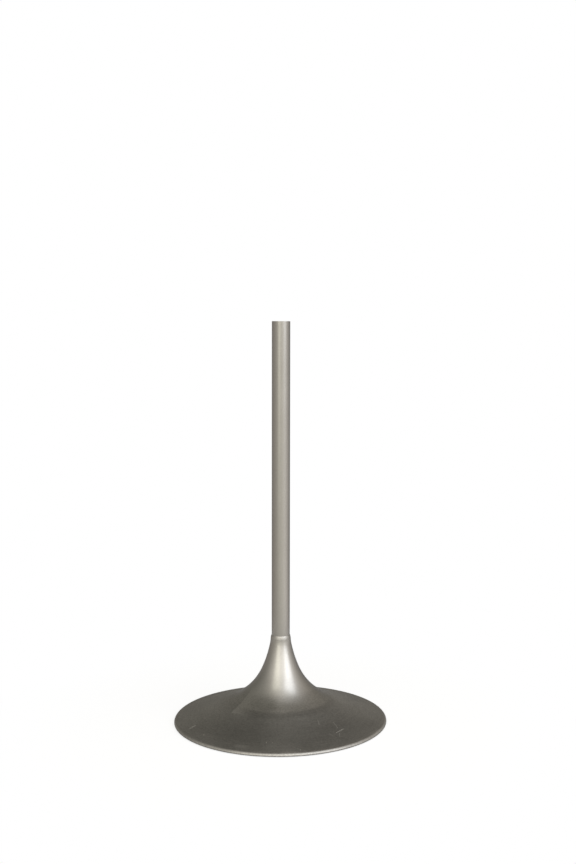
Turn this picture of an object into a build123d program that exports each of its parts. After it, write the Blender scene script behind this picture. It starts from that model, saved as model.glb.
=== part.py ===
from build123d import *
import math
import os

# A weighted trumpet base for a small round table: a spun sheet foot with a slim round stem.
# Millimetres. The stem's axis is +Z, the floor is z = 0 and the origin is on the axis.

# Sizes of the whole base
OVERALL_HEIGHT = 564.0
FOOT_DIAMETER = 300.0
COLLAR_HEIGHT = 124.0

# Round tube of the stem
STEM_DIAMETER = 25.4
STEM_WALL = 1.5
STEM_EDGE = 0.3

# Sheet of the spun foot, its neck round the stem and the bends of its rolled rim
SHEET = 1.2
COLLAR_GAP = 0.1
COLLAR_LAND = 1.4
COLLAR_EDGE = 0.8
RIM_BEND = 1.0
LIP_BEND = 0.4
LIP_WIDTH = 5.4

# The flare is four tangent arcs, called neck, waist, throat and skirt. Two have a radius of their
# own and the other two fill the run and the drop. The angles are the slopes where one meets the next.
NECK_RADIUS = 59.0
THROAT_RADIUS = 89.0
FLARE_ANGLES = (78.0, 66.8, 26.9)
SKIRT_SLOPE = 12.6

# Rubber ring that the base stands on
FLOOR_LIFT = 1.0
RING_INSET = 4.0
RING_WIDTH = 14.0
RING_EDGE = 0.4

# Steel disc that the rim is rolled under
PLATE_THICKNESS = 1.0
PLATE_GAP = 0.6
PLATE_HOLE_MARGIN = 2.0

# Cast iron weight, with the socket for the stem in its boss
BALLAST_INSET = 20.6
BALLAST_TOP = 30.0
BALLAST_GAP = 0.2
BALLAST_TOUCH = 0.45
BOSS_WALL = 12.5
BOSS_TAPER = 2.5
BOSS_EDGE = 1.0
ROOT_ROUND = 3.0
SOCKET_DEPTH = 24.0
SOCKET_GAP = 0.15
WEB_THICKNESS = 8.8
COUNTERBORE_RADIUS = 14.0

# Threaded bush at the top of the stem and plug at its foot
TUBE_FIT = 0.05
BUSH_LENGTH = 25.0
PLUG_LENGTH = 30.0
TAPPED_RADIUS = 4.25
THREAD_MOUTH = 0.75
FITTING_EDGE = 1.0

# Bolt from below, with its washers
BOLT_RADIUS = 5.0
THREAD_FIT = 0.05
THREAD_ENGAGEMENT = 22.0
BOLT_TIP = 1.0
HEAD_ACROSS_FLATS = 16.0
HEAD_HEIGHT = 6.4
HEAD_CORNER = 0.8
HEAD_CLEAR = 2.6
BOLT_HOLE_GAP = 0.5
FLAT_WASHER_RADIUS = 10.0
FLAT_WASHER_THICKNESS = 2.0
FLAT_WASHER_GAP = 0.25
SPRING_WASHER_RADIUS = 9.05
SPRING_WASHER_THICKNESS = 2.2
SPRING_WASHER_GAP = 0.1
SPRING_WASHER_SPLIT = 1.5
SPLIT_LEAN = 20.0

# Sizes that follow from the ones above
foot_radius = FOOT_DIAMETER / 2
stem_radius = STEM_DIAMETER / 2
tube_bore = stem_radius - STEM_WALL
collar_bore = stem_radius + COLLAR_GAP
collar_radius = collar_bore + SHEET

lip_top = FLOOR_LIFT + SHEET
bend_height = lip_top + LIP_BEND
rim_wall = foot_radius - SHEET
rim_centre = rim_wall - RIM_BEND
lip_centre = rim_wall - LIP_BEND
lip_radius = lip_centre - LIP_WIDTH

plate_radius = rim_centre - PLATE_GAP
plate_top = lip_top + PLATE_THICKNESS

head_top = HEAD_CLEAR + HEAD_HEIGHT
spring_washer_top = head_top + SPRING_WASHER_THICKNESS
counterbore_top = spring_washer_top + FLAT_WASHER_THICKNESS
socket_floor = counterbore_top + WEB_THICKNESS
boss_radius = stem_radius + SOCKET_GAP + BOSS_WALL
boss_top = socket_floor + SOCKET_DEPTH

# Sides and ends of a section, for the corners function
INNER, OUTER = 0, -1
LOW, HIGH = 0, -1

down = Vector(0, -1)
across_skirt = Vector(math.sin(math.radians(SKIRT_SLOPE)), math.cos(math.radians(SKIRT_SLOPE)))


def turned(profile):
    """Revolve a section, drawn with x as radius and y as height, about the stem's axis."""
    return revolve(Plane.XZ * profile, Axis.Z)


def ring(inner, outer, low, high):
    """Section of a plain ring or, with inner 0, of a disc."""
    return Polyline((inner, low), (outer, low), (outer, high), (inner, high), close=True)


def corner(section, side, end):
    """A section's corner on its inner or outer side, at its low or high end."""
    return section.vertices().group_by(Axis.Y)[end].sort_by(Axis.X)[side]


def flare_radii():
    """Radii of the flare's four arcs, which together reach from the neck to the rim's bend."""
    slopes = [math.radians(slope) for slope in (90, *FLARE_ANGLES, SKIRT_SLOPE)]
    runs = [math.sin(high) - math.sin(low) for high, low in zip(slopes, slopes[1:])]
    drops = [math.cos(low) - math.cos(high) for high, low in zip(slopes, slopes[1:])]
    end = Vector(rim_centre, bend_height) + across_skirt * (RIM_BEND + SHEET)
    run = end.X - collar_radius - NECK_RADIUS * runs[0] - THROAT_RADIUS * runs[2]
    drop = COLLAR_HEIGHT - COLLAR_LAND - end.Y - NECK_RADIUS * drops[0] - THROAT_RADIUS * drops[2]
    scale = runs[1] * drops[3] - runs[3] * drops[1]
    waist = (run * drops[3] - drop * runs[3]) / scale
    skirt = (drop * runs[1] - run * drops[1]) / scale
    return NECK_RADIUS, waist, THROAT_RADIUS, skirt


def flare_line(depth):
    """The flare's arcs from the neck to the rim's bend, moved in from the outside by depth."""
    slopes = (90, *FLARE_ANGLES, SKIRT_SLOPE)
    point, heading = Vector(collar_radius - depth, COLLAR_HEIGHT - COLLAR_LAND), down
    arcs = []
    for radius, high, low in zip(flare_radii(), slopes, slopes[1:]):
        arcs.append(JernArc(point, heading, radius + depth, high - low))
        point, heading = arcs[-1] @ 1, arcs[-1] % 1
    return arcs


def trumpet_foot():
    """One spun sheet: neck collar, flare and skirt, with the rim rolled round and under."""
    outside, inside = flare_line(0), flare_line(SHEET)
    neck_top = COLLAR_HEIGHT - COLLAR_EDGE
    neck = [
        Line(inside[0] @ 0, (collar_bore, COLLAR_HEIGHT)),
        Line((collar_bore, COLLAR_HEIGHT), (collar_radius - COLLAR_EDGE, COLLAR_HEIGHT)),
        CenterArc((collar_radius - COLLAR_EDGE, neck_top), COLLAR_EDGE, 0, 90),
        Line((collar_radius, neck_top), outside[0] @ 0),
    ]
    rim = [
        CenterArc((rim_centre, bend_height), RIM_BEND + SHEET, 0, 90 - SKIRT_SLOPE),
        CenterArc((lip_centre, bend_height), LIP_BEND + SHEET, -90, 90),
        Line((lip_centre, FLOOR_LIFT), (lip_radius, FLOOR_LIFT)),
    ]
    # The corners inside the rolled rim are flats
    hem = Polyline(
        (lip_radius, FLOOR_LIFT),
        (lip_radius, lip_top),
        (lip_centre, lip_top),
        (rim_wall, bend_height),
        inside[-1] @ 1,
    )
    return turned(make_face([*neck, *outside, *rim, hem, *inside]))


def stem_tube():
    """Round tube that stands in the weight's socket, with its cut top edge broken."""
    section = make_face(ring(tube_bore, stem_radius, socket_floor, OVERALL_HEIGHT))
    return turned(chamfer(corner(section, OUTER, HIGH), STEM_EDGE))


def tube_fitting(bore, low, high, mouth, back):
    """Turned plug in the tube: a hole countersunk at its mouth, the outer edge broken at its back."""
    section = make_face(ring(bore, tube_bore - TUBE_FIT, low, high))
    section = chamfer(corner(section, INNER, mouth), THREAD_MOUTH)
    return turned(chamfer(corner(section, OUTER, back), FITTING_EDGE))


def top_bush():
    """Threaded bush flush with the stem's top end, which the table top's fixing screws into."""
    return tube_fitting(TAPPED_RADIUS, OVERALL_HEIGHT - BUSH_LENGTH, OVERALL_HEIGHT, HIGH, LOW)


def stem_plug():
    """Threaded plug level with the stem's lower end, which the bolt from below screws into."""
    return tube_fitting(BOLT_RADIUS + THREAD_FIT, socket_floor, socket_floor + PLUG_LENGTH, LOW, HIGH)


def ballast_weight():
    """Casting under the skirt: its cone touches the sheet and rises to a tapered boss with a socket."""
    skirt = flare_line(SHEET + BALLAST_GAP)[-1]
    touch, fall = skirt @ BALLAST_TOUCH, skirt % BALLAST_TOUCH
    rim_radius = plate_radius - BALLAST_INSET
    rim = touch + fall * ((rim_radius - touch.X) / fall.X)
    shoulder = touch + fall * ((BALLAST_TOP - touch.Y) / fall.Y)
    root = boss_radius + BOSS_TAPER
    sides = [(rim_radius, plate_top), rim, shoulder, (root, BALLAST_TOP), (boss_radius, boss_top)]
    section = make_face(Polyline((0, plate_top), *sides, (0, boss_top), close=True))
    section = fillet(section.vertices().sort_by_distance((root, BALLAST_TOP))[0], ROOT_ROUND)
    section = chamfer(corner(section, OUTER, HIGH), BOSS_EDGE)
    section -= make_face(ring(0, stem_radius + SOCKET_GAP, socket_floor, boss_top))
    section -= make_face(ring(0, BOLT_RADIUS + BOLT_HOLE_GAP, counterbore_top, socket_floor))
    section -= make_face(ring(0, COUNTERBORE_RADIUS, plate_top, counterbore_top))
    return turned(section)


def bottom_plate():
    """Flat steel disc on the rolled lip, open round the bolt's head."""
    hole = COUNTERBORE_RADIUS + PLATE_HOLE_MARGIN
    return turned(make_face(ring(hole, plate_radius, lip_top, plate_top)))


def floor_ring():
    """Rubber ring stuck under the plate, inside the lip, a little lower than the rim."""
    outer = lip_radius - RING_INSET
    section = make_face(ring(outer - RING_WIDTH, outer, 0, lip_top))
    return turned(chamfer(section.vertices().group_by(Axis.Y)[LOW], RING_EDGE))


def clamp_bolt():
    """Hexagon bolt, head down, with the corners of its head and its tip turned off."""
    length = SPRING_WASHER_THICKNESS + FLAT_WASHER_THICKNESS + WEB_THICKNESS + THREAD_ENGAGEMENT
    flats = RegularPolygon(HEAD_ACROSS_FLATS / 2, 6, major_radius=False)
    head = extrude(Pos(0, 0, HEAD_CLEAR) * flats, HEAD_HEIGHT)
    blank = make_face(ring(0, HEAD_ACROSS_FLATS / math.sqrt(3), HEAD_CLEAR, head_top))
    head &= turned(chamfer(corner(blank, OUTER, LOW), HEAD_CORNER))
    shank = make_face(ring(0, BOLT_RADIUS, head_top, head_top + length))
    return head + turned(chamfer(corner(shank, OUTER, HIGH), BOLT_TIP))


def flat_washer():
    """Plain washer against the weight's web."""
    bore = BOLT_RADIUS + FLAT_WASHER_GAP
    return turned(make_face(ring(bore, FLAT_WASHER_RADIUS, spring_washer_top, counterbore_top)))


def spring_washer():
    """Split washer pressed flat between the bolt's head and the plain washer."""
    bore = BOLT_RADIUS + SPRING_WASHER_GAP
    body = turned(make_face(ring(bore, SPRING_WASHER_RADIUS, head_top, spring_washer_top)))
    middle = head_top + SPRING_WASHER_THICKNESS / 2
    slot = Box(2 * SPRING_WASHER_RADIUS, SPRING_WASHER_SPLIT, 2 * SPRING_WASHER_RADIUS)
    return body - Pos(SPRING_WASHER_RADIUS, 0, middle) * Rot(SPLIT_LEAN, 0, 0) * slot


def main():
    """Write each piece to its own file."""
    os.makedirs("parts", exist_ok=True)
    pieces = (
        trumpet_foot,
        stem_tube,
        top_bush,
        stem_plug,
        ballast_weight,
        bottom_plate,
        floor_ring,
        clamp_bolt,
        flat_washer,
        spring_washer,
    )
    for piece in pieces:
        export_step(piece(), f"parts/{piece.__name__}.step")


main()
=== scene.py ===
"""Trumpet table base: the visual model of a spun steel foot, its tube stem and the hardware below.

Laid out as a Blender add-on and run as a script. Lengths are in metres where no comment says mm.
"""

import math

import bmesh
import bpy
from mathutils import Matrix, Vector


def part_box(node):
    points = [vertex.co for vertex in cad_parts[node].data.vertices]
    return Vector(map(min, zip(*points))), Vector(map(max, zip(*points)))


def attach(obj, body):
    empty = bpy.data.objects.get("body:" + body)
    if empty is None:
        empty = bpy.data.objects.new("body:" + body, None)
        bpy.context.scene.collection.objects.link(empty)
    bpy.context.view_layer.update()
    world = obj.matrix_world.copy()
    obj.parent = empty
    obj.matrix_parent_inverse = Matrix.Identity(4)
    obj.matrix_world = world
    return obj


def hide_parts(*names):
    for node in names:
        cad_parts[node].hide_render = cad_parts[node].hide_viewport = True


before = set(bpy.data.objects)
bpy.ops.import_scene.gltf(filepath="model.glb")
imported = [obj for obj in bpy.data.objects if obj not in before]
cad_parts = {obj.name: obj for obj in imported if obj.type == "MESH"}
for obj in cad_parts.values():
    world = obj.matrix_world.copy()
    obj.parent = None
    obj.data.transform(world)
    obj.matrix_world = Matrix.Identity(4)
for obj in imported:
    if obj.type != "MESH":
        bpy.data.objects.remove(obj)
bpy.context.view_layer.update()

bl_info = {
    "name": "Trumpet table base",
    "version": (1, 0, 0),
    "blender": (4, 5, 0),
    "location": "View3D > Sidebar > Trumpet base",
    "description": "Spun foot, tube stem and hardware of a table base, with a soft studio stage",
    "category": "Object",
}

MM = 0.001

# The kinds of node that are used most
MATH = "ShaderNodeMath"
VECTOR = "ShaderNodeVectorMath"
NOISE = "ShaderNodeTexNoise"
SPLIT = "ShaderNodeSeparateXYZ"
RANGE = "ShaderNodeMapRange"
SMOOTH = {"interpolation_type": "SMOOTHSTEP"}

# The two inputs of a colour mix, by their place on the node
MIX_FIRST = 6
MIX_SECOND = 7

# Outline of the turned pieces, in mm and degrees, as the base is made. The neck ends in a dome
# down to DOME_HEIGHT below its top, whose edge stands DOME_EDGE clear of the bore. The rim's full
# rounding starts RIM_TOP above the floor
SHEET = 1.2
COLLAR_GAP = 0.1
COLLAR_LAND = 1.4
DOME_HEIGHT = 6.2
DOME_EDGE = 0.2
NECK_RADIUS = 59.0
THROAT_RADIUS = 89.0
FLARE_ANGLES = (78.0, 66.8, 26.9)
SKIRT_SLOPE = 12.6
RIM_ROUND = 3.6
RIM_TOP = 5.45
LIP_BEND = 0.4
LIP_WIDTH = 5.4
FLOOR_LIFT = 1.0
STEM_WALL = 1.5
STEM_EDGE = 0.3
SOCKET_FLOOR = 22.0
TUBE_FIT = 0.05
BUSH_LENGTH = 25.0
TAPPED_RADIUS = 4.25
FITTING_EDGE = 1.0

# Thread's section as shares of half its pitch: its flat crest and its flank. Then how far beyond
# the bore a point still counts as the bore's, in mm, and how many pitches the mouth flares over
THREAD_CREST = 0.08
THREAD_FLANK = 0.72
THREAD_REACH = 0.3
THREAD_MOUTH = 0.5

# How finely the curves are drawn. STEM_ROWS are mm below the stem's broken edge
ARC_STEP = 2.5
ARC_STEPS = 2
DOME_STEPS = 8
EDGE_STEPS = 6
SHARP_ANGLE = 30.0
FOOT_SEGMENTS = 288
STEM_SEGMENTS = 128
BUSH_SEGMENTS = 96
FLOOR_SEGMENTS = 128
STEM_ROWS = (0.5, 2.0, 100.0, 200.0, 300.0, 400.0, 500.0)
THREAD_ROWS = 16
DOUBLES = 1e-6

# Satin nickel: a brushed plating that spreads a highlight softly and leaves the metal's warm grey.
# Its grit marks are 0.1 to 0.3 mm, too fine to show, so they are drawn as coarse as they need to
# be here. In mm: width of the brush marks and their length at a radius, size of the spots and of
# the clouds, and heights. Then how far each changes the tone
BRUSH_WIDTH = 1.25
BRUSH_LENGTH = 16.0
BRUSH_AT = 80.0
GRAIN_SIZE = 2.4
CLOUD_SIZE = 38.0
BRUSH_DEPTH = 0.008
GRAIN_DEPTH = 0.030
BRUSH_TONE = 0.35
GRAIN_TONE = 0.60
CLOUD_TONE = 0.22

# The neck and stem are smooth and the skirt is dull and grainy: roughness, how far the clouds
# change it, the share of the grain that is left on the smooth part, and radii in metres between
# which the changes run
ROUGH_NECK = 0.30
ROUGH_SKIRT = 0.50
ROUGH_FROM = (0.055, 0.085)
ROUGH_UNEVEN = 0.08
SMOOTH_SHARE = 0.25
GRAIN_FROM = (0.036, 0.062)

# The neck's domed top edge is duller: radii in metres between which that sets in, and how much
# rougher it is
NECK_EDGE = (0.0152, 0.0138)
NECK_EDGE_ROUGH = 0.12

# Tone of the foot by radius in mm, on the side that faces the camera and elsewhere. On that side it
# is partly wear and partly painted shade, darker over the skirt, with a painted highlight in a ring
# near the neck. Elsewhere it is darker over the skirt and brighter at the rim. Given first are that
# side, and how squarely a place faces it where the change begins and where it is whole. The rings
# run round a centre of their own, in mm, and wander by a few mm
WORN_AND_SHADED_SIDE = (0.2, -0.98, 0)
WORN_AND_SHADED_FROM = (0.0, 0.9)
WORN_AND_SHADED_CENTRE = (-0.5, 0, 0)
WORN_AND_SHADED_WANDER = 3.0
FRONT_TONE = (
    (0, 1.0),
    (32, 1.02),
    # Painted highlight: a brighter ring from 38 to 44 mm
    (38, 1.12),
    (44, 1.12),
    (50, 0.98),
    (58, 0.98),
    (67, 0.95),
    (71, 0.66),
    (76, 0.57),
    (82, 0.60),
    (92, 0.58),
    (108, 0.54),
    (124, 0.56),
    (134, 0.61),
    (143, 0.66),
    (147, 0.74),
    (148.5, 1.0),
    (150, 1.05),
)
OTHER_TONE = (
    (0, 1.0),
    (60, 1.0),
    (70, 0.92),
    (85, 0.87),
    (147, 0.84),
    (148.5, 1.0),
    (150, 1.05),
)

# Painted reflection, a brighter patch on the skirt, in mm: its straight edge from the outer to the
# inner end as x and y, how soft the edge is, its width, and where along the edge it starts and
# fades
PAINTED_REFLECTION_EDGE = ((-66.5, -50.3), (-40.0, -18.3))
PAINTED_REFLECTION_SOFT = 0.8
PAINTED_REFLECTION_WIDTH = 34.0
PAINTED_REFLECTION_OUTER = (-0.5, 1.5)
PAINTED_REFLECTION_INNER = (30.0, 46.0)
PAINTED_REFLECTION_TONE = 0.22

# Scratches, nicks and a pale smudge from x, y to x, y in mm, with half width and strength
SCRATCH_TONE = 0.75
SCRATCH_ROUGH = 0.35
SCRATCHES = (
    (-114.5, -54.9, -122.9, -62.3, 0.45, 1.35),
    (52.3, -70.3, 54.2, -74.8, 0.30, 0.65),
    (54.2, -74.8, 55.1, -81.1, 0.30, 0.65),
    (73.4, -67.6, 77.1, -71.4, 0.45, 0.75),
    (77.1, -71.4, 79.9, -77.8, 0.45, 0.75),
    (77.9, -90.1, 87.9, -77.0, 0.50, 0.85),
    (68.4, -94.9, 74.0, -98.9, 0.40, 0.65),
    (82.6, -89.8, 82.5, -97.1, 0.40, 0.65),
    (-100.6, -88.4, -100.0, -89.0, 0.80, 1.1),
    (-14.5, -123.2, -14.0, -125.4, 0.70, 1.0),
    (-6.6, -124.4, -6.2, -125.4, 0.70, 0.7),
    (30.6, -138.2, 31.0, -139.0, 0.70, 1.0),
    (-53.0, -127.5, -42.0, -131.5, 5.0, 0.16),
)

# The hardware's finishes: metallic, roughness, size of the spots and height of the relief in mm.
# Their real grain is finer than a pixel, so it only softens the shine
MACHINED_ZINC = (1.0, 0.38, 0.6, 0.004)
PLATED_ZINC = (1.0, 0.36, 0.6, 0.004)
CAST_IRON = (0.0, 0.62, 1.6, 0.12)
BLACK_PAINT = (0.0, 0.45, 0.9, 0.02)
MOULDED_RUBBER = (0.0, 0.72, 0.8, 0.03)

# Studio, in metres and degrees, with the lens and the film in mm and the shift as a share of the
# film. The floor is clear inside FLOOR_OPENING, fades into the white from FLOOR_FADE to its edge,
# and the metal sees it white from FLOOR_CARD outwards
FLOOR_RADIUS = 0.42
FLOOR_OPENING = 0.1385
FLOOR_FADE = 0.17
FLOOR_CARD = 0.30
FLOOR_GREY = "#A0A0A0"
FLOOR_GLOW = (0.8, 1.0)
CAMERA_AT = (0.058214, -1.660916, 0.560911)
CAMERA_PITCH = -5.162
CAMERA_ROLL = 0.2444
CAMERA_LENS = 50.0
CAMERA_SHIFT = -0.040313
CAMERA_REACH = 50.0
FILM_HEIGHT = 36.0

# Light of the room as linear red, green and blue: an even part, and glows with their direction
# from the camera's side and their focus. Heights are the upward share of a direction
DARK = (0, 0, 0)
WHITE = (1, 1, 1, 1)
HORIZON = (0.038, 0.228)
ROOM_BELOW = (0.154, 0.151, 0.147)
FLOOR_GLOWS = (
    (65.0, 3.0, (0.345, 0.326, 0.304)),
    (0.0, 3.0, (0.264, 0.257, 0.213)),
    (-90.0, 3.0, (0.161, 0.145, 0.124)),
)
ROOM_ABOVE = (0.106, 0.101, 0.084)
WALL_GLOWS = (
    (-90.0, 3.0, (0.096, 0.097, 0.093)),
    (90.0, 3.0, (0.258, 0.237, 0.216)),
    (0.0, 3.0, (0.913, 0.879, 0.810)),
    (43.3, 5.26, (0.495, 0.515, 0.556)),
)
WALL_FADE = (0.361, 1.377)

# A paler stretch of floor on the right, which the stem's lower end reflects: it fades in downwards
# between two heights
NEAR_GLOW = (68.0, 12.0, (0.27, 0.26, 0.25))
NEAR_FADE = (-0.17, -0.30)

# White card straight behind the base that the metal sees: its height and its edges
CARD_HEIGHT = math.radians(-8.0)
CARD_INNER = math.radians(4.0)
CARD_OUTER = math.radians(8.0)

# Lamps: name, direction from the camera's side and height in degrees, distance, width and
# length, brightness and colour
LAMP_AIM = Vector((0, 0, 0.2))
LAMPS = (
    ("key_softbox", 52.1, 34.1, 4.0, (2.63, 4.30), 0.833, "#EFF6FF"),
    ("left_softbox", -21.0, 29.4, 4.0, (2.08, 4.75), 0.429, "#FDFFF0"),
)


def linear(code):
    """A hex colour as it is seen, as the three linear values that Blender works in."""
    parts = [int(code[i : i + 2], 16) / 255 for i in (1, 3, 5)]
    return tuple(p / 12.92 if p <= 0.04045 else ((p + 0.055) / 1.055) ** 2.4 for p in parts)


def highest(node, axis):
    """The highest coordinate of a CAD node along an axis."""
    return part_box(node)[1][axis]


class TrumpetBaseSettings(bpy.types.PropertyGroup):
    """Sizes and colours that a user would change."""

    overall_height: bpy.props.FloatProperty(
        name="Overall height",
        description="From the floor to the stem's top end",
        default=highest("stem_tube", 2),
        min=0.2,
        unit="LENGTH",
    )
    foot_diameter: bpy.props.FloatProperty(
        name="Foot diameter",
        description="Across the rolled rim of the foot",
        default=2 * highest("trumpet_foot", 0),
        min=0.1,
        unit="LENGTH",
    )
    collar_height: bpy.props.FloatProperty(
        name="Collar height",
        description="From the floor to the top edge of the foot's neck",
        default=highest("trumpet_foot", 2),
        min=0.03,
        unit="LENGTH",
    )
    stem_diameter: bpy.props.FloatProperty(
        name="Stem diameter",
        description="Outside diameter of the stem's round tube",
        default=2 * highest("stem_tube", 0),
        min=0.01,
        unit="LENGTH",
    )
    thread_pitch: bpy.props.FloatProperty(
        name="Thread pitch",
        description="Pitch of the thread in the bush at the stem's top",
        default=1.5 * MM,
        min=0.5 * MM,
        unit="LENGTH",
    )
    thread_depth: bpy.props.FloatProperty(
        name="Thread depth",
        description="Depth of the thread, from the tapped hole's bore outwards",
        default=0.75 * MM,
        min=0.1 * MM,
        unit="LENGTH",
    )
    steel_colour: bpy.props.FloatVectorProperty(
        name="Satin nickel",
        description="Colour of the foot and the stem",
        default=linear("#CDCAC5"),
        subtype="COLOR",
        min=0,
        max=1,
    )
    iron_colour: bpy.props.FloatVectorProperty(
        name="Cast iron",
        description="Colour of the weight's dark dipped finish",
        default=linear("#26272A"),
        subtype="COLOR",
        min=0,
        max=1,
    )
    plate_colour: bpy.props.FloatVectorProperty(
        name="Plate paint",
        description="Colour of the painted disc under the foot",
        default=linear("#2E2F31"),
        subtype="COLOR",
        min=0,
        max=1,
    )
    rubber_colour: bpy.props.FloatVectorProperty(
        name="Rubber",
        description="Colour of the ring that the base stands on",
        default=linear("#232323"),
        subtype="COLOR",
        min=0,
        max=1,
    )
    zinc_colour: bpy.props.FloatVectorProperty(
        name="Zinc plating",
        description="Colour of the bolt, its washers and the threaded fittings",
        default=linear("#C9CCCE"),
        subtype="COLOR",
        min=0,
        max=1,
    )


def settings():
    """The scene's settings for this base."""
    return bpy.context.scene.trumpet_base


def add(tree, kind, inputs=(), **options):
    """Add a node with its options, and set or link its inputs, given in order or by their names.

    A node that is given as an input is linked by its first output in use.
    """
    made = tree.nodes.new(kind)
    for name, value in options.items():
        setattr(made, name, value)
    for name, value in inputs.items() if isinstance(inputs, dict) else enumerate(inputs):
        if isinstance(value, bpy.types.Node):
            value = next(socket for socket in value.outputs if socket.enabled)
        if isinstance(value, bpy.types.NodeSocket):
            tree.links.new(value, made.inputs[name])
        else:
            made.inputs[name].default_value = value
    return made


def arc(centre, radius, start, end, least=ARC_STEPS):
    """Points on an arc from start to end in degrees, where 0 points outwards and 90 up."""
    steps = max(least, math.ceil(abs(end - start) / ARC_STEP))
    turns = [math.radians(start + (end - start) * i / steps) for i in range(steps + 1)]
    return [(centre[0] + radius * math.cos(t), centre[1] + radius * math.sin(t)) for t in turns]


def flare_arcs(start, end):
    """Radii of the four tangent arcs from start to end: the second and the last fill the gap."""
    angles = [math.radians(a) for a in (90, *FLARE_ANGLES, SKIRT_SLOPE)]
    out = [math.sin(a) - math.sin(b) for a, b in zip(angles, angles[1:])]
    fall = [math.cos(b) - math.cos(a) for a, b in zip(angles, angles[1:])]
    run = end[0] - start[0] - NECK_RADIUS * out[0] - THROAT_RADIUS * out[2]
    drop = start[1] - end[1] - NECK_RADIUS * fall[0] - THROAT_RADIUS * fall[2]
    # The two open radii solve two equations, one for the run outwards and one for the drop
    determinant = out[1] * fall[3] - out[3] * fall[1]
    waist = (run * fall[3] - drop * out[3]) / determinant
    skirt = (drop * out[1] - run * fall[1]) / determinant
    return (NECK_RADIUS, waist, THROAT_RADIUS, skirt)


def flare_line(start, end, depth):
    """The flare's line from start to end, moved in by depth."""
    radii = flare_arcs(start, end)
    angles = (90, *FLARE_ANGLES, SKIRT_SLOPE)
    points = []
    x, y = start
    for radius, high, low in zip(radii, angles, angles[1:]):
        a, b = math.radians(high), math.radians(low)
        centre = (x + radius * math.sin(a), y + radius * math.cos(a))
        points += arc(centre, radius + depth, -90 - high, -90 - low)[bool(points) :]
        x += radius * (math.sin(a) - math.sin(b))
        y -= radius * (math.cos(b) - math.cos(a))
    return points


def foot_outline(s):
    """Closed outline of the foot's sheet in mm: neck, flare, skirt, rolled rim and back inside."""
    top = s.collar_height / MM
    bore = s.stem_diameter / MM / 2 + COLLAR_GAP
    start = (bore + SHEET, top - COLLAR_LAND)
    wall = s.foot_diameter / MM / 2
    turn = 90 - SKIRT_SLOPE
    across = math.radians(turn)
    skirt_end = (wall - RIM_ROUND * (1 - math.cos(across)), RIM_TOP)
    rim = (wall - RIM_ROUND, RIM_TOP - RIM_ROUND * math.sin(across))
    lip_round = rim[1] - FLOOR_LIFT
    lip = (wall - lip_round, rim[1])
    outside = [p for p in flare_line(start, skirt_end, 0) if p[1] < top - DOME_HEIGHT]
    inside = flare_line(start, skirt_end, SHEET)
    dome_end = outside[0]
    rise, reach = top - dome_end[1], dome_end[0] - bore - DOME_EDGE
    dome_radius = (rise**2 + reach**2) / (2 * reach)
    dome_centre = (dome_end[0] - dome_radius, dome_end[1])
    dome_start = math.degrees(math.asin(rise / dome_radius))
    lip_edge = wall - SHEET - LIP_BEND - LIP_WIDTH
    return [
        (bore, top),
        *arc(dome_centre, dome_radius, dome_start, 0, DOME_STEPS),
        *outside[1:],
        *arc(rim, RIM_ROUND, turn, 0)[1:],
        *arc(lip, lip_round, 0, -90)[1:],
        (lip_edge, FLOOR_LIFT),
        (lip_edge, FLOOR_LIFT + SHEET),
        (wall - SHEET - LIP_BEND, FLOOR_LIFT + SHEET),
        (wall - SHEET, FLOOR_LIFT + SHEET + LIP_BEND),
        *reversed(inside),
    ]


def stem_outline(s):
    """Closed outline of the stem's tube in mm, with its cut top edge broken."""
    radius, top = s.stem_diameter / MM / 2, s.overall_height / MM
    bore = radius - STEM_WALL
    return [
        (bore, top),
        *arc((radius - STEM_EDGE, top - STEM_EDGE), STEM_EDGE, 90, 0, EDGE_STEPS),
        *((radius, top - STEM_EDGE - row) for row in STEM_ROWS),
        (radius, SOCKET_FLOOR),
        (bore, SOCKET_FLOOR),
    ]


def bush_outline(s):
    """Closed outline of the top bush in mm, with enough rows in its bore for the thread."""
    top, low = s.overall_height / MM, s.overall_height / MM - BUSH_LENGTH
    outer = s.stem_diameter / MM / 2 - STEM_WALL - TUBE_FIT
    rows = round(BUSH_LENGTH / (s.thread_pitch / MM) * THREAD_ROWS)
    bore = [(TAPPED_RADIUS, low + BUSH_LENGTH * i / rows) for i in range(rows + 1)]
    return [*bore, (outer, top), (outer, low + FITTING_EDGE), (outer - FITTING_EDGE, low)]


def lathe_tree(name, material, thread=False):
    """Geometry nodes that turn an outline round the axis: its x is the radius, its y the height."""
    tree = bpy.data.node_groups.new(name, "GeometryNodeTree")
    face = tree.interface
    face.new_socket("Outline", in_out="INPUT", socket_type="NodeSocketGeometry")
    face.new_socket("Geometry", in_out="OUTPUT", socket_type="NodeSocketGeometry")
    for label in ("Path radius", "Pitch", "Depth", "Thread top"):
        face.new_socket(label, in_out="INPUT", socket_type="NodeSocketFloat")
    face.new_socket("Segments", in_out="INPUT", socket_type="NodeSocketInt")
    given = add(tree, "NodeGroupInput").outputs
    # Swept round its path, an outline lands a path radius further out and upside down, so it is
    # moved inwards and turned over first
    inwards = add(tree, MATH, (given["Path radius"], -1.0), operation="MULTIPLY")
    shift = add(tree, "ShaderNodeCombineXYZ", {"X": inwards})
    moved = add(
        tree,
        "GeometryNodeTransform",
        {"Geometry": given["Outline"], "Translation": shift, "Scale": (1, -1, 1)},
    )
    line = add(tree, "GeometryNodeMeshToCurve", {"Mesh": moved})
    path = add(
        tree,
        "GeometryNodeCurvePrimitiveCircle",
        {"Resolution": given["Segments"], "Radius": given["Path radius"]},
    )
    skin = add(tree, "GeometryNodeCurveToMesh", {"Curve": path, "Profile Curve": line})
    if thread:
        skin = threaded(tree, skin, given)
    whole = add(tree, "GeometryNodeRealizeInstances", {"Geometry": skin})
    last = add(tree, "GeometryNodeSetMaterial", {"Geometry": whole, "Material": material})
    add(tree, "NodeGroupOutput", {"Geometry": last})
    return tree


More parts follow.
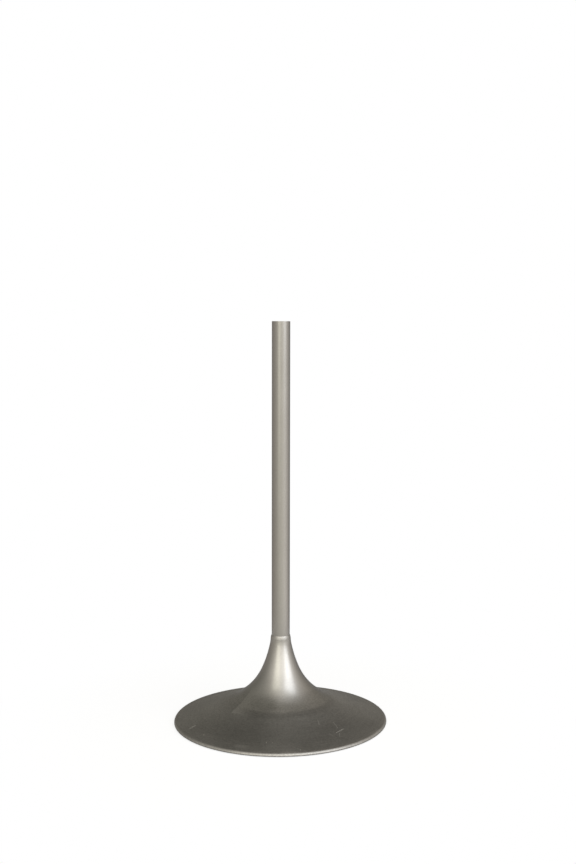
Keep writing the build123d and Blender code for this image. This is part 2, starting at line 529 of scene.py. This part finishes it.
def threaded(tree, skin, given):
    """Push the bore's surface outwards along a helix, so that it carries a screw thread."""
    at = add(tree, "GeometryNodeInputPosition")
    x, y, z = add(tree, SPLIT, (at,)).outputs
    flat = add(tree, VECTOR, (at, (1, 1, 0)), operation="MULTIPLY")
    radius = add(tree, VECTOR, (flat,), operation="LENGTH")
    angle = add(tree, MATH, (y, x), operation="ARCTAN2")
    turn = add(tree, MATH, (angle, math.tau), operation="DIVIDE")
    rise = add(tree, MATH, (z, given["Pitch"]), operation="DIVIDE")
    climb = add(tree, MATH, (rise, turn), operation="SUBTRACT")
    wave = add(tree, MATH, (climb,), operation="FRACT")
    slope = add(tree, MATH, (wave, 2.0, -1.0), operation="MULTIPLY_ADD")
    ridge = add(tree, MATH, (slope,), operation="ABSOLUTE")
    past = add(tree, MATH, (ridge, THREAD_CREST), operation="SUBTRACT")
    flank = add(tree, MATH, (past, THREAD_FLANK), operation="DIVIDE", use_clamp=True)
    below = add(tree, MATH, (given["Thread top"], z), operation="SUBTRACT")
    pitches = add(tree, MATH, (below, given["Pitch"]), operation="DIVIDE", use_clamp=True)
    depth = add(tree, MATH, (pitches, THREAD_MOUTH), operation="DIVIDE")
    mouth = add(tree, MATH, (1.0, depth), operation="SUBTRACT", use_clamp=True)
    cut = add(tree, MATH, (flank, mouth), operation="MAXIMUM")
    reach = add(tree, MATH, (cut, given["Depth"]), operation="MULTIPLY")
    bore = add(tree, MATH, (radius, (TAPPED_RADIUS + THREAD_REACH) * MM), operation="LESS_THAN")
    away = add(tree, VECTOR, (flat,), operation="NORMALIZE")
    push = add(tree, VECTOR, {"Vector": away, "Scale": reach}, operation="SCALE")
    return add(
        tree,
        "GeometryNodeSetPosition",
        {"Geometry": skin, "Selection": bore, "Offset": push},
    )


def turn_piece(name, outline, segments, material, node, thread=None):
    """Turn a closed outline into a plain mesh that stands for a CAD node.

    Its brush marks follow the distance along the outline in metres, kept as "along".
    """
    draft = bpy.data.meshes.new(name)
    count = len(outline)
    corners = [(x * MM, y * MM, 0) for x, y in outline]
    draft.from_pydata(corners, [(i, (i + 1) % count) for i in range(count)], [])
    lengths = [math.dist(a, b) * MM for a, b in zip(outline, outline[1:])]
    along = draft.attributes.new("along", "FLOAT", "POINT")
    along.data.foreach_set("value", [sum(lengths[:i]) for i in range(count)])
    piece = bpy.data.objects.new(name, draft)
    bpy.context.scene.collection.objects.link(piece)
    tree = lathe_tree(name, material, thread is not None)
    values = {"Path radius": max(x for x, y in outline) * MM, "Segments": segments}
    values.update(thread or {})
    lathe = piece.modifiers.new("Lathe", "NODES")
    lathe.node_group = tree
    for socket in tree.interface.items_tree:
        if socket.in_out == "INPUT" and socket.name in values:
            lathe[socket.identifier] = values[socket.name]
    bpy.context.view_layer.update()
    evaluated = piece.evaluated_get(bpy.context.evaluated_depsgraph_get())
    mesh = bpy.data.meshes.new_from_object(evaluated)
    mesh.name = name
    piece.modifiers.remove(lathe)
    piece.data = mesh
    bpy.data.meshes.remove(draft)
    close_mesh(mesh)
    mesh.shade_smooth()
    mesh.set_sharp_from_angle(angle=math.radians(SHARP_ANGLE))
    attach(piece, "root")
    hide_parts(node)


def close_mesh(mesh):
    """Merge doubled vertices and turn all faces outwards; stop if the mesh is open."""
    work = bmesh.new()
    work.from_mesh(mesh)
    bmesh.ops.remove_doubles(work, verts=work.verts, dist=DOUBLES)
    bmesh.ops.recalc_face_normals(work, faces=work.faces)
    if any(not edge.is_manifold for edge in work.edges):
        raise RuntimeError(f"{mesh.name} isn't closed")
    work.to_mesh(mesh)
    work.free()


def new_material(name):
    """A material with an empty node tree, and that tree."""
    material = bpy.data.materials.new(name)
    material.use_nodes = True
    material.node_tree.nodes.clear()
    return material, material.node_tree


def scratch_mask(tree, flat):
    """How strongly a scratch marks a place of the foot, from the distance to each one in plan."""
    mask = 0.0
    for ax, ay, bx, by, width, strength in SCRATCHES:
        start, way = Vector((ax, ay, 0)) * MM, Vector((bx - ax, by - ay, 0)) * MM
        off = add(tree, VECTOR, (flat, start), operation="SUBTRACT")
        share = add(tree, VECTOR, (off, way / way.length_squared), operation="DOT_PRODUCT")
        share = add(tree, MATH, (share, 0.0), operation="ADD", use_clamp=True)
        near = add(tree, VECTOR, {"Vector": way, "Scale": share}, operation="SCALE")
        away = add(tree, VECTOR, (off, near), operation="DISTANCE")
        line = add(tree, RANGE, (away, width * MM, 0.0), **SMOOTH)
        mark = add(tree, MATH, (line, strength), operation="MULTIPLY")
        mask = add(tree, MATH, (mark, mask), operation="MAXIMUM")
    return mask


def tone_ramp(tree, radius, levels):
    """A tone that follows a table of radii in mm and levels."""
    reach = levels[-1][0]
    share = add(tree, MATH, (radius, reach * MM), operation="DIVIDE")
    ramp = add(tree, "ShaderNodeValToRGB", (share,))
    stops = ramp.color_ramp.elements
    for mm, level in levels[1:-1]:
        stops.new(mm / reach)
    for stop, (mm, level) in zip(stops, levels):
        stop.color = (level, level, level, 1)
    return ramp


def painted_reflection_mask(tree, flat):
    """1 along the painted reflection's straight edge, falling to 0 across it and towards its inner
    end.
    """
    corner, end = (Vector((x, y, 0)) * MM for x, y in PAINTED_REFLECTION_EDGE)
    way = (end - corner).normalized()
    off = add(tree, VECTOR, (flat, corner), operation="SUBTRACT")
    away = add(tree, VECTOR, (off, (way.y, -way.x, 0)), operation="DOT_PRODUCT")
    along = add(tree, VECTOR, (off, way), operation="DOT_PRODUCT")
    mask = 1.0
    for value, start, stop in (
        (away, -PAINTED_REFLECTION_SOFT, PAINTED_REFLECTION_SOFT),
        (away, PAINTED_REFLECTION_WIDTH, 0.0),
        (along, *PAINTED_REFLECTION_OUTER),
        (along, *reversed(PAINTED_REFLECTION_INNER)),
    ):
        side = add(tree, RANGE, (value, start * MM, stop * MM), **SMOOTH)
        mask = add(tree, MATH, (mask, side), operation="MULTIPLY")
    return mask


def worn_and_shaded_tone(tree, flat, cloud):
    """The foot's tone: darker rings on the side toward the camera, partly wear and partly painted
    shade with a painted highlight ring, and a brighter patch that is a painted reflection.
    """
    # Rings of tone on the camera's side: partly wear, partly painted shade and painted highlight
    ring = add(tree, VECTOR, (flat, Vector(WORN_AND_SHADED_CENTRE) * MM), operation="DISTANCE")
    at = add(tree, MATH, (cloud, WORN_AND_SHADED_WANDER * MM, ring), operation="MULTIPLY_ADD")
    way = add(tree, VECTOR, (flat,), operation="NORMALIZE")
    facing = add(tree, VECTOR, (way, WORN_AND_SHADED_SIDE), operation="DOT_PRODUCT")
    side = add(tree, RANGE, (facing, *WORN_AND_SHADED_FROM), **SMOOTH)
    elsewhere, front = (tone_ramp(tree, at, levels) for levels in (OTHER_TONE, FRONT_TONE))
    tone = add(
        tree,
        "ShaderNodeMix",
        {"Factor": side, MIX_FIRST: elsewhere, MIX_SECOND: front},
        data_type="RGBA",
    )
    # A painted reflection lightens a patch with a straight edge
    return add(tree, MATH, (painted_reflection_mask(tree, flat), PAINTED_REFLECTION_TONE, tone), operation="MULTIPLY_ADD")


def satin_steel(name, colour, worn_and_shaded=False):
    """Satin nickel on steel, brushed round the axis. The worn foot has scratches, and rings of tone
    that are partly wear and partly painted shade.
    """
    material, tree = new_material(name)
    at = add(tree, "ShaderNodeTexCoord").outputs["Object"]
    flat = add(tree, VECTOR, (at, (1, 1, 0)), operation="MULTIPLY")
    radius = add(tree, VECTOR, (flat,), operation="LENGTH")

    # Brush marks run round the axis, spots and clouds lie anywhere. All three swing about 0
    way = add(tree, VECTOR, (flat,), operation="NORMALIZE")
    turned = add(tree, VECTOR, {"Vector": way, "Scale": BRUSH_AT / BRUSH_LENGTH}, operation="SCALE")
    along = add(tree, "ShaderNodeAttribute", attribute_name="along").outputs["Fac"]
    lift = add(tree, MATH, (along, BRUSH_WIDTH * MM), operation="DIVIDE")
    lift = add(tree, "ShaderNodeCombineXYZ", {"Z": lift})
    turned = add(tree, VECTOR, (turned, lift), operation="ADD")
    noises = (
        {"Vector": turned, "Scale": 1.0, "Detail": 3.0},
        {"Vector": at, "Scale": 1 / (GRAIN_SIZE * MM), "Detail": 2.0},
        {"Vector": at, "Scale": 1 / (CLOUD_SIZE * MM), "Detail": 3.0},
    )
    brush, grain, cloud = (
        add(tree, MATH, (add(tree, NOISE, noise), 0.5), operation="SUBTRACT") for noise in noises
    )

    # The skirt is rougher and grainier than the neck and the stem
    rough = add(tree, RANGE, (radius, *ROUGH_FROM, ROUGH_NECK, ROUGH_SKIRT), **SMOOTH)
    rough = add(tree, MATH, (cloud, ROUGH_UNEVEN, rough), operation="MULTIPLY_ADD")
    share = add(tree, RANGE, (radius, *GRAIN_FROM, SMOOTH_SHARE, 1.0), **SMOOTH)
    tone = 0.0
    for pattern, depth in ((brush, BRUSH_TONE), (grain, GRAIN_TONE), (cloud, CLOUD_TONE)):
        tone = add(tree, MATH, (pattern, depth, tone), operation="MULTIPLY_ADD")
    tone = add(tree, MATH, (tone, share, 1.0), operation="MULTIPLY_ADD")

    if worn_and_shaded:
        # Tone rings that are partly wear and partly painted shade and highlight, with a painted
        # reflection
        wear_and_shade = worn_and_shaded_tone(tree, flat, cloud)
        tone = add(tree, MATH, (tone, wear_and_shade), operation="MULTIPLY")
        edge = add(tree, RANGE, (radius, *NECK_EDGE), **SMOOTH)
        rough = add(tree, MATH, (edge, NECK_EDGE_ROUGH, rough), operation="MULTIPLY_ADD")
        scratched = scratch_mask(tree, flat)
        rough = add(tree, MATH, (scratched, SCRATCH_ROUGH, rough), operation="MULTIPLY_ADD")
        tone = add(tree, MATH, (scratched, SCRATCH_TONE, tone), operation="MULTIPLY_ADD")

    relief = add(tree, MATH, (grain, GRAIN_DEPTH / BRUSH_DEPTH, brush), operation="MULTIPLY_ADD")
    relief = add(tree, MATH, (relief, share), operation="MULTIPLY")
    bump = add(
        tree,
        "ShaderNodeBump",
        {"Height": relief, "Strength": 1.0, "Distance": BRUSH_DEPTH * MM},
    )
    toned = add(tree, VECTOR, {"Vector": tuple(colour), "Scale": tone}, operation="SCALE")
    skin = add(
        tree,
        "ShaderNodeBsdfPrincipled",
        {"Base Color": toned, "Metallic": 1.0, "Roughness": rough, "Normal": bump},
    )
    add(tree, "ShaderNodeOutputMaterial", {"Surface": skin})
    return material


def plain_finish(name, colour, metallic, roughness, grain, relief):
    """A plain finish with a fine bump, from the size and the height of its spots in mm."""
    material, tree = new_material(name)
    at = add(tree, "ShaderNodeTexCoord").outputs["Object"]
    spots = add(tree, NOISE, {"Vector": at, "Scale": 1 / (grain * MM), "Detail": 4.0})
    bump = add(
        tree,
        "ShaderNodeBump",
        {"Height": spots, "Strength": 1.0, "Distance": relief * MM},
    )
    skin = add(
        tree,
        "ShaderNodeBsdfPrincipled",
        {"Base Color": (*colour, 1), "Metallic": metallic, "Roughness": roughness, "Normal": bump},
    )
    add(tree, "ShaderNodeOutputMaterial", {"Surface": skin})
    return material


class TRUMPET_OT_turn_foot(bpy.types.Operator):
    """Turn the spun foot: collar, flare, skirt and rolled rim in one sheet"""

    bl_idname = "trumpet_base.turn_foot"
    bl_label = "Turn the foot"

    def execute(self, context):
        s = settings()
        # Spun sheet steel, satin nickel plated: long soft highlights on the neck, and a dull and
        # grainy skirt where years of use have worn the plating. Its darker tone on the camera's
        # side is partly painted shade, with a painted highlight ring and a painted reflection
        steel = satin_steel("Satin nickel, foot", s.steel_colour, worn_and_shaded=True)
        turn_piece("spun_foot", foot_outline(s), FOOT_SEGMENTS, steel, "trumpet_foot")
        return {"FINISHED"}


class TRUMPET_OT_turn_stem(bpy.types.Operator):
    """Turn the stem's round tube"""

    bl_idname = "trumpet_base.turn_stem"
    bl_label = "Turn the stem"

    def execute(self, context):
        s = settings()
        # Drawn steel tube, satin nickel plated: an even warm grey with soft bands along it
        steel = satin_steel("Satin nickel, stem", s.steel_colour)
        turn_piece("round_stem", stem_outline(s), STEM_SEGMENTS, steel, "stem_tube")
        return {"FINISHED"}


class TRUMPET_OT_cut_thread(bpy.types.Operator):
    """Turn the bush at the stem's top and cut its screw thread"""

    bl_idname = "trumpet_base.cut_thread"
    bl_label = "Cut the top thread"

    def execute(self, context):
        s = settings()
        # Machined steel, zinc plated: a cool grey with a frosted shine
        zinc = plain_finish("Zinc plated steel, bush", s.zinc_colour, *MACHINED_ZINC)
        turn_piece(
            "threaded_bush",
            bush_outline(s),
            BUSH_SEGMENTS,
            zinc,
            "top_bush",
            {"Pitch": s.thread_pitch, "Depth": s.thread_depth, "Thread top": s.overall_height},
        )
        return {"FINISHED"}


class TRUMPET_OT_finish_hardware(bpy.types.Operator):
    """Give the weight, plate, ring, bolt and washers their finishes"""

    bl_idname = "trumpet_base.finish_hardware"
    bl_label = "Finish the hardware"

    def execute(self, context):
        s = settings()
        # Sand cast iron dipped in black: nearly black, matt, with the sand's uneven skin
        iron = plain_finish("Cast iron, dipped black", s.iron_colour, *CAST_IRON)
        # Sheet steel sprayed black: dark and half matt, with a faint orange peel
        paint = plain_finish("Steel plate, black paint", s.plate_colour, *BLACK_PAINT)
        # Moulded rubber: black without shine
        rubber = plain_finish("Rubber ring", s.rubber_colour, *MOULDED_RUBBER)
        # Rolled and cut steel, zinc plated: a cool grey, slightly smoother than the bush
        zinc = plain_finish("Zinc plated steel", s.zinc_colour, *PLATED_ZINC)
        finishes = {
            "ballast_weight": iron,
            "bottom_plate": paint,
            "floor_ring": rubber,
            "stem_plug": zinc,
            "clamp_bolt": zinc,
            "flat_washer": zinc,
            "spring_washer": zinc,
        }
        for name, material in finishes.items():
            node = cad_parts[name]
            for slot in node.material_slots:
                slot.material = material
        return {"FINISHED"}


class TRUMPET_OT_build_stage(bpy.types.Operator):
    """Build the studio: pale floor, soft lamps, room light and camera"""

    bl_idname = "trumpet_base.build_stage"
    bl_label = "Build the stage"

    def execute(self, context):
        pale_floor()
        room_light()
        for lamp in LAMPS:
            soft_lamp(*lamp)
        photo_camera()
        context.scene.view_settings.view_transform = "Standard"
        return {"FINISHED"}


def shows_background(tree, glossy_share):
    """1 for camera and transmission rays, a share for glossy ones and 0 for the rest."""
    path = add(tree, "ShaderNodeLightPath").outputs
    rays = (path["Is Camera Ray"], path["Is Transmission Ray"])
    direct = add(tree, MATH, rays, operation="MAXIMUM")
    glossy = add(tree, MATH, (path["Is Glossy Ray"], glossy_share), operation="MULTIPLY")
    return add(tree, MATH, (direct, glossy), operation="MAXIMUM")


def pale_floor():
    """A round pale floor that fades into the white and keeps the shadow.

    It is clear from below and inside the rubber ring, where no eye above it comes, so that the
    underside can be seen and lit.
    """
    mesh = bpy.data.meshes.new("stage_floor")
    work = bmesh.new()
    bmesh.ops.create_circle(work, cap_ends=True, segments=FLOOR_SEGMENTS, radius=FLOOR_RADIUS)
    work.to_mesh(mesh)
    work.free()
    floor = bpy.data.objects.new("stage_floor", mesh)
    bpy.context.scene.collection.objects.link(floor)
    material, tree = new_material("Pale floor")
    at = add(tree, "ShaderNodeTexCoord").outputs["Object"]
    far = add(tree, VECTOR, (at,), operation="LENGTH")
    fade = add(tree, RANGE, (far, FLOOR_FADE, FLOOR_RADIUS), **SMOOTH)
    strength = add(tree, RANGE, (far, FLOOR_FADE, FLOOR_RADIUS, *FLOOR_GLOW), **SMOOTH)
    card = add(tree, RANGE, (far, FLOOR_CARD, FLOOR_RADIUS), **SMOOTH)
    lit = add(tree, "ShaderNodeBsdfDiffuse", {"Color": (*linear(FLOOR_GREY), 1)})
    glow = add(tree, "ShaderNodeEmission", {"Strength": strength})
    dark = add(tree, "ShaderNodeEmission", {"Strength": 0.0})
    shown = add(tree, "ShaderNodeMixShader", (shows_background(tree, card), dark, glow))
    shaded = add(tree, "ShaderNodeMixShader", (fade, lit, dark))
    pale = add(tree, "ShaderNodeAddShader", (shaded, shown))
    below = add(tree, "ShaderNodeNewGeometry").outputs["Backfacing"]
    inside = add(tree, MATH, (far, FLOOR_OPENING), operation="LESS_THAN")
    open_part = add(tree, MATH, (below, inside), operation="MAXIMUM")
    clear = add(tree, "ShaderNodeBsdfTransparent")
    both = add(tree, "ShaderNodeMixShader", (open_part, pale, clear))
    add(tree, "ShaderNodeOutputMaterial", {"Surface": both})
    mesh.materials.append(material)


def room_light():
    """The room: floor and walls of uneven grey, and the backdrop's white card behind the base."""
    world = bpy.context.scene.world or bpy.data.worlds.new("Room")
    bpy.context.scene.world = world
    world.use_nodes = True
    tree = world.node_tree
    tree.nodes.clear()
    way = add(tree, "ShaderNodeTexCoord").outputs["Generated"]
    flat = add(tree, VECTOR, (way, (1, 1, 0)), operation="MULTIPLY")
    level = add(tree, VECTOR, (flat,), operation="NORMALIZE")

    def glowing(even, glows):
        """An even colour with glows, each whole in its direction and gone opposite to it."""
        total = even
        for turn, focus, colour in glows:
            a = math.radians(turn)
            aim = (math.sin(a), -math.cos(a), 0)
            facing = add(tree, VECTOR, (level, aim), operation="DOT_PRODUCT")
            half = add(tree, MATH, (facing, 0.5, 0.5), operation="MULTIPLY_ADD")
            glow = add(tree, MATH, (half, focus), operation="POWER")
            lit = add(tree, VECTOR, {"Vector": colour, "Scale": glow}, operation="SCALE")
            total = add(tree, VECTOR, (lit, total), operation="ADD")
        return total

    height = add(tree, SPLIT, (way,)).outputs["Z"]
    low = add(tree, RANGE, (height, *WALL_FADE, 1.0, 0.0), **SMOOTH)
    walls = glowing(DARK, WALL_GLOWS)
    walls = add(tree, VECTOR, {"Vector": walls, "Scale": low}, operation="SCALE")
    above = add(tree, VECTOR, (walls, ROOM_ABOVE), operation="ADD")
    room = DARK
    for colour, fade in (
        (above, HORIZON),
        (glowing(ROOM_BELOW, FLOOR_GLOWS), HORIZON[::-1]),
        (glowing(DARK, (NEAR_GLOW,)), NEAR_FADE),
    ):
        share = add(tree, RANGE, (height, *fade), **SMOOTH)
        layer = add(tree, VECTOR, {"Vector": colour, "Scale": share}, operation="SCALE")
        room = add(tree, VECTOR, (room, layer), operation="ADD")

    card_way = (0, math.cos(CARD_HEIGHT), math.sin(CARD_HEIGHT))
    towards = add(tree, VECTOR, (way, card_way), operation="DOT_PRODUCT")
    card = add(tree, RANGE, (towards, math.cos(CARD_OUTER), math.cos(CARD_INNER)), **SMOOTH)
    colour = add(
        tree,
        "ShaderNodeMix",
        {"Factor": shows_background(tree, card), MIX_FIRST: room, MIX_SECOND: WHITE},
        data_type="RGBA",
    )
    glow = add(tree, "ShaderNodeBackground", {"Color": colour, "Strength": 1.0})
    add(tree, "ShaderNodeOutputWorld", {"Surface": glow})


def soft_lamp(name, turn, height, distance, size, brightness, colour):
    """A soft area lamp aimed at the base; brightness 1 looks white in a mirror."""
    lamp = bpy.data.lights.new(name, "AREA")
    lamp.shape = "RECTANGLE"
    lamp.size, lamp.size_y = size
    lamp.energy = brightness * math.pi * size[0] * size[1]
    lamp.color = linear(colour)
    holder = bpy.data.objects.new(name, lamp)
    bpy.context.scene.collection.objects.link(holder)
    a, e = math.radians(turn), math.radians(height)
    away = Vector((math.sin(a) * math.cos(e), -math.cos(a) * math.cos(e), math.sin(e)))
    facing = away.to_track_quat("Z", "Y").to_matrix().to_4x4()
    holder.matrix_world = Matrix.Translation(LAMP_AIM + away * distance) @ facing
    holder.visible_camera = False


def photo_camera():
    """The camera at the photo's place, lens and angle."""
    lens = bpy.data.cameras.new("photo_camera")
    lens.sensor_fit = "VERTICAL"
    lens.sensor_height = FILM_HEIGHT
    lens.lens = CAMERA_LENS
    lens.shift_x = CAMERA_SHIFT
    lens.clip_end = CAMERA_REACH
    camera = bpy.data.objects.new("photo_camera", lens)
    bpy.context.scene.collection.objects.link(camera)
    pitch = Matrix.Rotation(math.radians(90 + CAMERA_PITCH), 4, "X")
    roll = Matrix.Rotation(math.radians(CAMERA_ROLL), 4, "Z")
    camera.matrix_world = Matrix.Translation(CAMERA_AT) @ pitch @ roll
    bpy.context.scene.camera = camera


class TRUMPET_PT_panel(bpy.types.Panel):
    """Sizes, colours and the steps that build the base, in order"""

    bl_idname = "TRUMPET_PT_panel"
    bl_label = "Trumpet table base"
    bl_space_type = "VIEW_3D"
    bl_region_type = "UI"
    bl_category = "Trumpet base"

    def draw(self, context):
        column = self.layout.column()
        for name in TrumpetBaseSettings.__annotations__:
            column.prop(settings(), name)
        for step in STEPS:
            column.operator(step.bl_idname)


STEPS = (
    TRUMPET_OT_turn_foot,
    TRUMPET_OT_turn_stem,
    TRUMPET_OT_cut_thread,
    TRUMPET_OT_finish_hardware,
    TRUMPET_OT_build_stage,
)


def register():
    for part in (TrumpetBaseSettings, *STEPS, TRUMPET_PT_panel):
        bpy.utils.register_class(part)
    bpy.types.Scene.trumpet_base = bpy.props.PointerProperty(type=TrumpetBaseSettings)


def unregister():
    del bpy.types.Scene.trumpet_base
    for part in (TRUMPET_PT_panel, *reversed(STEPS), TrumpetBaseSettings):
        bpy.utils.unregister_class(part)


def main():
    """Build everything in order."""
    register()
    bpy.ops.trumpet_base.turn_foot()
    bpy.ops.trumpet_base.turn_stem()
    bpy.ops.trumpet_base.cut_thread()
    bpy.ops.trumpet_base.finish_hardware()
    bpy.ops.trumpet_base.build_stage()


if __name__ == "__main__":
    main()
